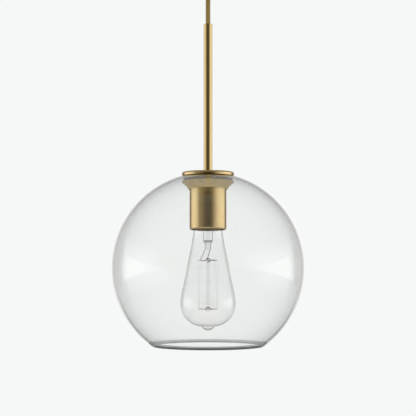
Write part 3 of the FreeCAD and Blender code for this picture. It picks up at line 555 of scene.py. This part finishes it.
class PENDANT_OT_cord(bpy.types.Operator):
    """The braided cord from the ceiling grip down into the top of the rod."""
    bl_idname = "pendant.cord"
    bl_label = "Cord"

    def execute(self, context):
        colours = context.scene.pendant_cord
        radius = colours.diameter / 2
        high, low = top_of("supply_cord"), foot_of("supply_cord")
        route = [(0.0, 0.0, high), (0.0, 0.0, (high + low) / 2), (0.0, 0.0, low)]
        curve = bpy.data.curves.new("gold_cord", "CURVE")
        curve.dimensions = "3D"
        curve.bevel_depth = radius
        curve.bevel_resolution = 12
        curve.use_fill_caps = True
        line = curve.splines.new("NURBS")
        line.points.add(len(route) - 1)
        for spot, place in zip(line.points, route):
            spot.co = (*place, 1.0)
        line.order_u = 3
        line.use_endpoint_u = True
        line.resolution_u = 24
        cord = bpy.data.objects.new("gold_cord", curve)
        context.scene.collection.objects.link(cord)
        dress(cord, finish_named("cord_braid"), "cord", "cord_braid", "supply_cord")
        return {"FINISHED"}


class PENDANT_OT_globe(bpy.types.Operator):
    """The blown globe: open below, with a ground neck hole and a fire-polished rim."""
    bl_idname = "pendant.globe"
    bl_label = "Glass globe"

    def execute(self, context):
        sizes = context.scene.pendant_glass
        wall = sizes.globe_wall
        bead = wall / 2
        middle = GLOBE_RADIUS - bead
        neck_angle = math.degrees(math.acos((sizes.neck_radius + bead) / middle))
        rim_height = GLOBE_CENTRE - foot_of("glass_globe") - bead
        rim_angle = -math.degrees(math.asin(rim_height / middle))
        centre = (0.0, GLOBE_CENTRE)
        neck = arc(centre, middle, neck_angle, neck_angle, 1)[0]
        rim = arc(centre, middle, rim_angle, rim_angle, 1)[0]
        outline = arc(centre, GLOBE_RADIUS, rim_angle, neck_angle, 150)
        outline += arc(neck, bead, neck_angle, neck_angle + 180, 12)[1:-1]
        outline += arc(centre, GLOBE_RADIUS - wall, neck_angle, rim_angle, 150)
        outline += arc(rim, bead, rim_angle - 180, rim_angle, 12)[1:-1]
        globe = turned("clear_globe", outline, 192, 60.0)
        dress(globe, finish_named("globe_glass"), "shade", "globe_glass", "glass_globe")
        globe.data.materials.append(finish_named("rim_glass"))
        rim_band = foot_of("glass_globe") + wall
        for face in globe.data.polygons:
            if face.center.z < rim_band:
                face.material_index = 1
        return {"FINISHED"}


def inset(outline, wall):
    """The outline moved in by a wall's thickness, square to its run; its ends keep their height."""
    moved = []
    for index, (r, z) in enumerate(outline):
        before = outline[max(index - 1, 0)]
        after = outline[min(index + 1, len(outline) - 1)]
        run = math.hypot(after[0] - before[0], after[1] - before[1])
        inward = (r + wall * (after[1] - before[1]) / run, z - wall * (after[0] - before[0]) / run)
        moved.append((max(inward[0], 0.0), inward[1]))
    moved[0] = (outline[0][0] - wall, outline[0][1])
    moved[-1] = (0.0, outline[-1][1] + wall)
    return moved


def curve_run(start, first, second, end, steps):
    """Points (r, z) of a Bezier run between two places, pulled by two handles."""
    run = interpolate_bezier(*[Vector((r, z)) for r, z in (start, first, second, end)], steps + 1)
    return [(spot.x, spot.y) for spot in run]


def bulb_outline(sizes, skin_depth):
    """Outline of the bulb from its base down to its pip, from a straight neck to the round end."""
    widest = BULB_TIP + sizes.widest_height
    base = foot_of("bulb_base_shell") - 0.3 * MM
    shoulder_centre = BULB_RADIUS - sizes.shoulder_radius
    end_height = sizes.widest_height - sizes.pip_length
    gap = sizes.shoulder_radius
    end_radius = (shoulder_centre ** 2 + end_height ** 2 - gap ** 2) / (2 * (end_height - gap))
    end_centre = widest - end_height + end_radius
    meeting = math.degrees(math.atan2(widest - end_centre, shoulder_centre))
    reach = base - widest
    outline = curve_run((sizes.bulb_neck, base), (sizes.bulb_neck + 0.4 * MM, base - 0.17 * reach),
                        (BULB_RADIUS - 10.6 * MM, widest + 0.66 * reach),
                        (BULB_RADIUS - 6.7 * MM, widest + 0.42 * reach), 30)[:-1]
    outline += curve_run((BULB_RADIUS - 6.7 * MM, widest + 0.42 * reach),
                         (BULB_RADIUS - 3.3 * MM, widest + 0.22 * reach),
                         (BULB_RADIUS, widest + 0.12 * reach), (BULB_RADIUS, widest), 30)[:-1]
    outline += arc((shoulder_centre, widest), sizes.shoulder_radius, 0, meeting, 24)[:-1]
    pip = 7.4 * MM
    pip_angle = -math.degrees(math.acos(pip / end_radius))
    outline += arc((0.0, end_centre), end_radius, meeting, pip_angle, 12)
    start = outline[-1]
    outline += curve_run(start, (start[0] - 1.2 * MM, start[1] - 2.2 * MM), (4.0 * MM, BULB_TIP),
                         (0.0, BULB_TIP), 16)[1:]
    return outline if not skin_depth else inset(outline, skin_depth)


class PENDANT_OT_bulb(bpy.types.Operator):
    """The blown envelope of the lamp, with its sealed pip."""
    bl_idname = "pendant.bulb"
    bl_label = "Bulb glass"

    def execute(self, context):
        sizes = context.scene.pendant_glass
        outside = bulb_outline(sizes, 0.0)
        inside = bulb_outline(sizes, sizes.bulb_wall)
        bm = bmesh.new()
        spin_outline(bm, outside + inside[::-1], 160)
        envelope = finish_mesh(bm, "bulb_envelope", 60.0)
        dress(envelope, finish_named("bulb_glass_clear"), "bulb", "bulb_glass_clear", "bulb_glass")
        return {"FINISHED"}


class PENDANT_OT_filament(bpy.types.Operator):
    """The hair-fine filament, up and down round the squirrel cage."""
    bl_idname = "pendant.filament"
    bl_label = "Filament"

    def execute(self, context):
        sizes = context.scene.pendant_lamp
        radius = radius_of("filament") - sizes.wire_radius
        high = top_of("filament") - sizes.wire_radius
        low = foot_of("filament") + sizes.wire_radius
        curve = bpy.data.curves.new("cage_filament", "CURVE")
        curve.dimensions = "3D"
        curve.bevel_depth = sizes.wire_radius
        curve.bevel_resolution = 3
        curve.use_fill_caps = True
        line = curve.splines.new("POLY")
        holds = range(2, 2 * sizes.positions + 1)
        line.points.add(len(holds) - 1)
        for spot, index in zip(line.points, holds):
            turn = math.radians(sizes.first_angle + index * 180.0 / sizes.positions)
            level = low if index % 2 else high
            spot.co = (radius * math.cos(turn), radius * math.sin(turn), level, 1.0)
        wire = bpy.data.objects.new("cage_filament", curve)
        context.scene.collection.objects.link(wire)
        dress(wire, finish_named("tungsten"), "bulb", "tungsten", "filament")
        return {"FINISHED"}


class PENDANT_OT_stage(bpy.types.Operator):
    """A pale floor, soft studio light, and the camera."""
    bl_idname = "pendant.stage"
    bl_label = "Stage and camera"

    def execute(self, context):
        sizes = context.scene.pendant_studio
        add_camera(context.scene, sizes)
        add_floor(context.scene, sizes)
        add_softboxes(context.scene, sizes)
        add_room(context.scene, sizes)
        context.scene.view_settings.view_transform = "Standard"
        context.scene.cycles.max_bounces = 32
        context.scene.cycles.transmission_bounces = 32
        context.scene.cycles.glossy_bounces = 8
        context.scene.cycles.diffuse_bounces = 3
        return {"FINISHED"}


def add_camera(scene, sizes):
    camera = bpy.data.cameras.new("camera")
    camera.lens = sizes.lens
    camera.sensor_width = 36.0
    camera.dof.use_dof = False
    seen = bpy.data.objects.new("camera", camera)
    seen.location = (0.0, -sizes.camera_distance, GLOBE_CENTRE - sizes.camera_below)
    pitch = math.atan2(sizes.camera_below + sizes.aim_above, sizes.camera_distance)
    seen.rotation_euler = (math.pi / 2 + pitch, 0.0, 0.0)
    scene.collection.objects.link(seen)
    bpy.context.scene.camera = seen


def add_floor(scene, sizes):
    """A round, plain floor with a barely uneven tone."""
    bm = bmesh.new()
    bmesh.ops.create_circle(bm, cap_ends=True, radius=sizes.floor_radius, segments=96)
    bmesh.ops.translate(bm, vec=(0, 0, foot_of("glass_globe") - sizes.floor_drop), verts=bm.verts)
    floor = finish_mesh(bm, "studio_floor")
    drift = [value * 0.97 for value in sizes.floor_colour]
    floor.data.materials.append(grained("studio_floor", sizes.floor_colour, drift, 0.75, grains=300.0,
                                        depth=0.02, patches=1.5))


def add_softboxes(scene, sizes):
    """Two tall soft lights, one each side of the front."""
    for side in (-1, 1):
        lamp = bpy.data.lights.new("softbox", "AREA")
        lamp.shape = "RECTANGLE"
        lamp.size = 1.2
        lamp.size_y = 2.0
        lamp.energy = sizes.softbox_power
        box = bpy.data.objects.new("softbox", lamp)
        box.location = (side * 1.9, -1.1, GLOBE_CENTRE + 0.3)
        aim = Vector((0, 0, GLOBE_CENTRE)) - box.location
        box.rotation_euler = aim.to_track_quat("-Z", "Y").to_euler()
        box.visible_camera = False
        box.visible_glossy = False
        box.visible_transmission = False
        scene.collection.objects.link(box)


# Brightness of the studio's walls by the angle from the camera's side, positive to the right.
PANELS = ((-180, 0.93), (-140, 0.20), (-128, 0.25), (-125, 1.0), (-103, 1.15), (-91, 1.2), (-79, 1.0),
          (-66, 0.70), (-56, 0.33), (-42, 0.26), (-22, 0.11), (-10, 0.045), (14, 0.045), (27, 0.17), (40, 0.45),
          (60, 0.88), (72, 1.08), (90, 1.2), (110, 1.15), (125, 1.0), (128, 0.25), (140, 0.20), (180, 0.93))


def add_room(scene, sizes):
    """The studio round the light: a pale backdrop, and bright and dark panels that metal mirrors."""
    world = bpy.data.worlds.new("studio")
    scene.world = world
    world.use_nodes = True
    tree = world.node_tree
    tree.nodes.clear()
    way = add_node(tree, "ShaderNodeTexCoord").outputs["Generated"]
    axes = add_node(tree, "ShaderNodeSeparateXYZ", {0: way}).outputs
    flat = maths(tree, "SQRT", maths(tree, "ADD", maths(tree, "MULTIPLY", axes[0], axes[0]),
                                     maths(tree, "MULTIPLY", axes[1], axes[1])))
    away = maths(tree, "MULTIPLY", axes[1], -1.0)
    turn = maths(tree, "MULTIPLY_ADD", maths(tree, "ARCTAN2", axes[0], away), 1.0 / math.tau, 0.5)
    ramp = add_node(tree, "ShaderNodeValToRGB", {"Fac": turn})
    steps = ramp.color_ramp.elements
    steps[0].position, steps[1].position = 0.0, 1.0
    for degrees, value in PANELS[1:-1]:
        steps.new(degrees / 360.0 + 0.5)
    for step, (degrees, value) in zip(steps, PANELS):
        lit = 1.0 if abs(degrees) > 60 else min(max((value - 0.06) / 0.5, 0.0), 1.0)
        tones = [dark + (pale - dark) * lit for dark, pale in zip(sizes.shadow_tone, sizes.room_tone)]
        step.color = opaque([value * tone for tone in tones])
    rise = maths(tree, "ARCTAN2", axes[2], flat)
    above = add_node(tree, "ShaderNodeMapRange", {"Value": rise, "From Min": 0.12, "From Max": 0.4}).outputs[0]
    below = add_node(tree, "ShaderNodeMapRange", {"Value": rise, "From Min": -0.3, "From Max": -0.7}).outputs[0]
    capped = blend_colour(tree, above, ramp.outputs[0], opaque([sizes.overhead] * 3))
    sky = blend_colour(tree, below, capped, opaque([sizes.underfoot] * 3))
    light = add_node(tree, "ShaderNodeLightPath")
    bounced = maths(tree, "ADD", light.outputs["Glossy Depth"], light.outputs["Diffuse Depth"])
    mirrored = maths(tree, "GREATER_THAN", bounced, 0.5)
    entered = maths(tree, "GREATER_THAN", light.outputs["Transmission Depth"], 0.5)
    trapped = maths(tree, "GREATER_THAN", bounced, 1.5)
    in_glass = maths(tree, "MULTIPLY", maths(tree, "MULTIPLY", entered, trapped), sizes.glass_fill)
    filled = blend_colour(tree, in_glass, sky, opaque(sizes.backdrop))
    shade = blend_colour(tree, mirrored, opaque(sizes.backdrop), filled)
    background = add_node(tree, "ShaderNodeBackground", {"Color": shade, "Strength": 1.0})
    out = add_node(tree, "ShaderNodeOutputWorld")
    tree.links.new(background.outputs[0], out.inputs["Surface"])


class PENDANT_PT_panel(bpy.types.Panel):
    """Buttons and sizes of the pendant light."""
    bl_label = "Pendant light"
    bl_idname = "PENDANT_PT_panel"
    bl_space_type = "VIEW_3D"
    bl_region_type = "UI"
    bl_category = "Pendant"

    def draw(self, context):
        for operator in OPERATORS:
            self.layout.operator(operator.bl_idname)
        for name, group in SETTINGS.items():
            box = self.layout.box()
            box.label(text=group.__doc__)
            for key in group.__annotations__:
                box.prop(getattr(context.scene, name), key)


SETTINGS = {"pendant_studio": StudioSizes, "pendant_glass": GlassSizes, "pendant_lamp": LampSizes,
            "pendant_metal": MetalColours, "pendant_cord": CordColours}
OPERATORS = (PENDANT_OT_finishes, PENDANT_OT_cord, PENDANT_OT_globe, PENDANT_OT_bulb, PENDANT_OT_filament,
             PENDANT_OT_stage)


def register():
    for group in (*SETTINGS.values(), *OPERATORS, PENDANT_PT_panel):
        bpy.utils.register_class(group)
    for name, group in SETTINGS.items():
        setattr(bpy.types.Scene, name, bpy.props.PointerProperty(type=group))


def unregister():
    for name in SETTINGS:
        delattr(bpy.types.Scene, name)
    for group in reversed((*SETTINGS.values(), *OPERATORS, PENDANT_PT_panel)):
        bpy.utils.unregister_class(group)


def main():
    register()
    bpy.ops.pendant.finishes()
    bpy.ops.pendant.cord()
    bpy.ops.pendant.globe()
    bpy.ops.pendant.bulb()
    bpy.ops.pendant.filament()
    bpy.ops.pendant.stage()


if __name__ == "__main__":
    main()
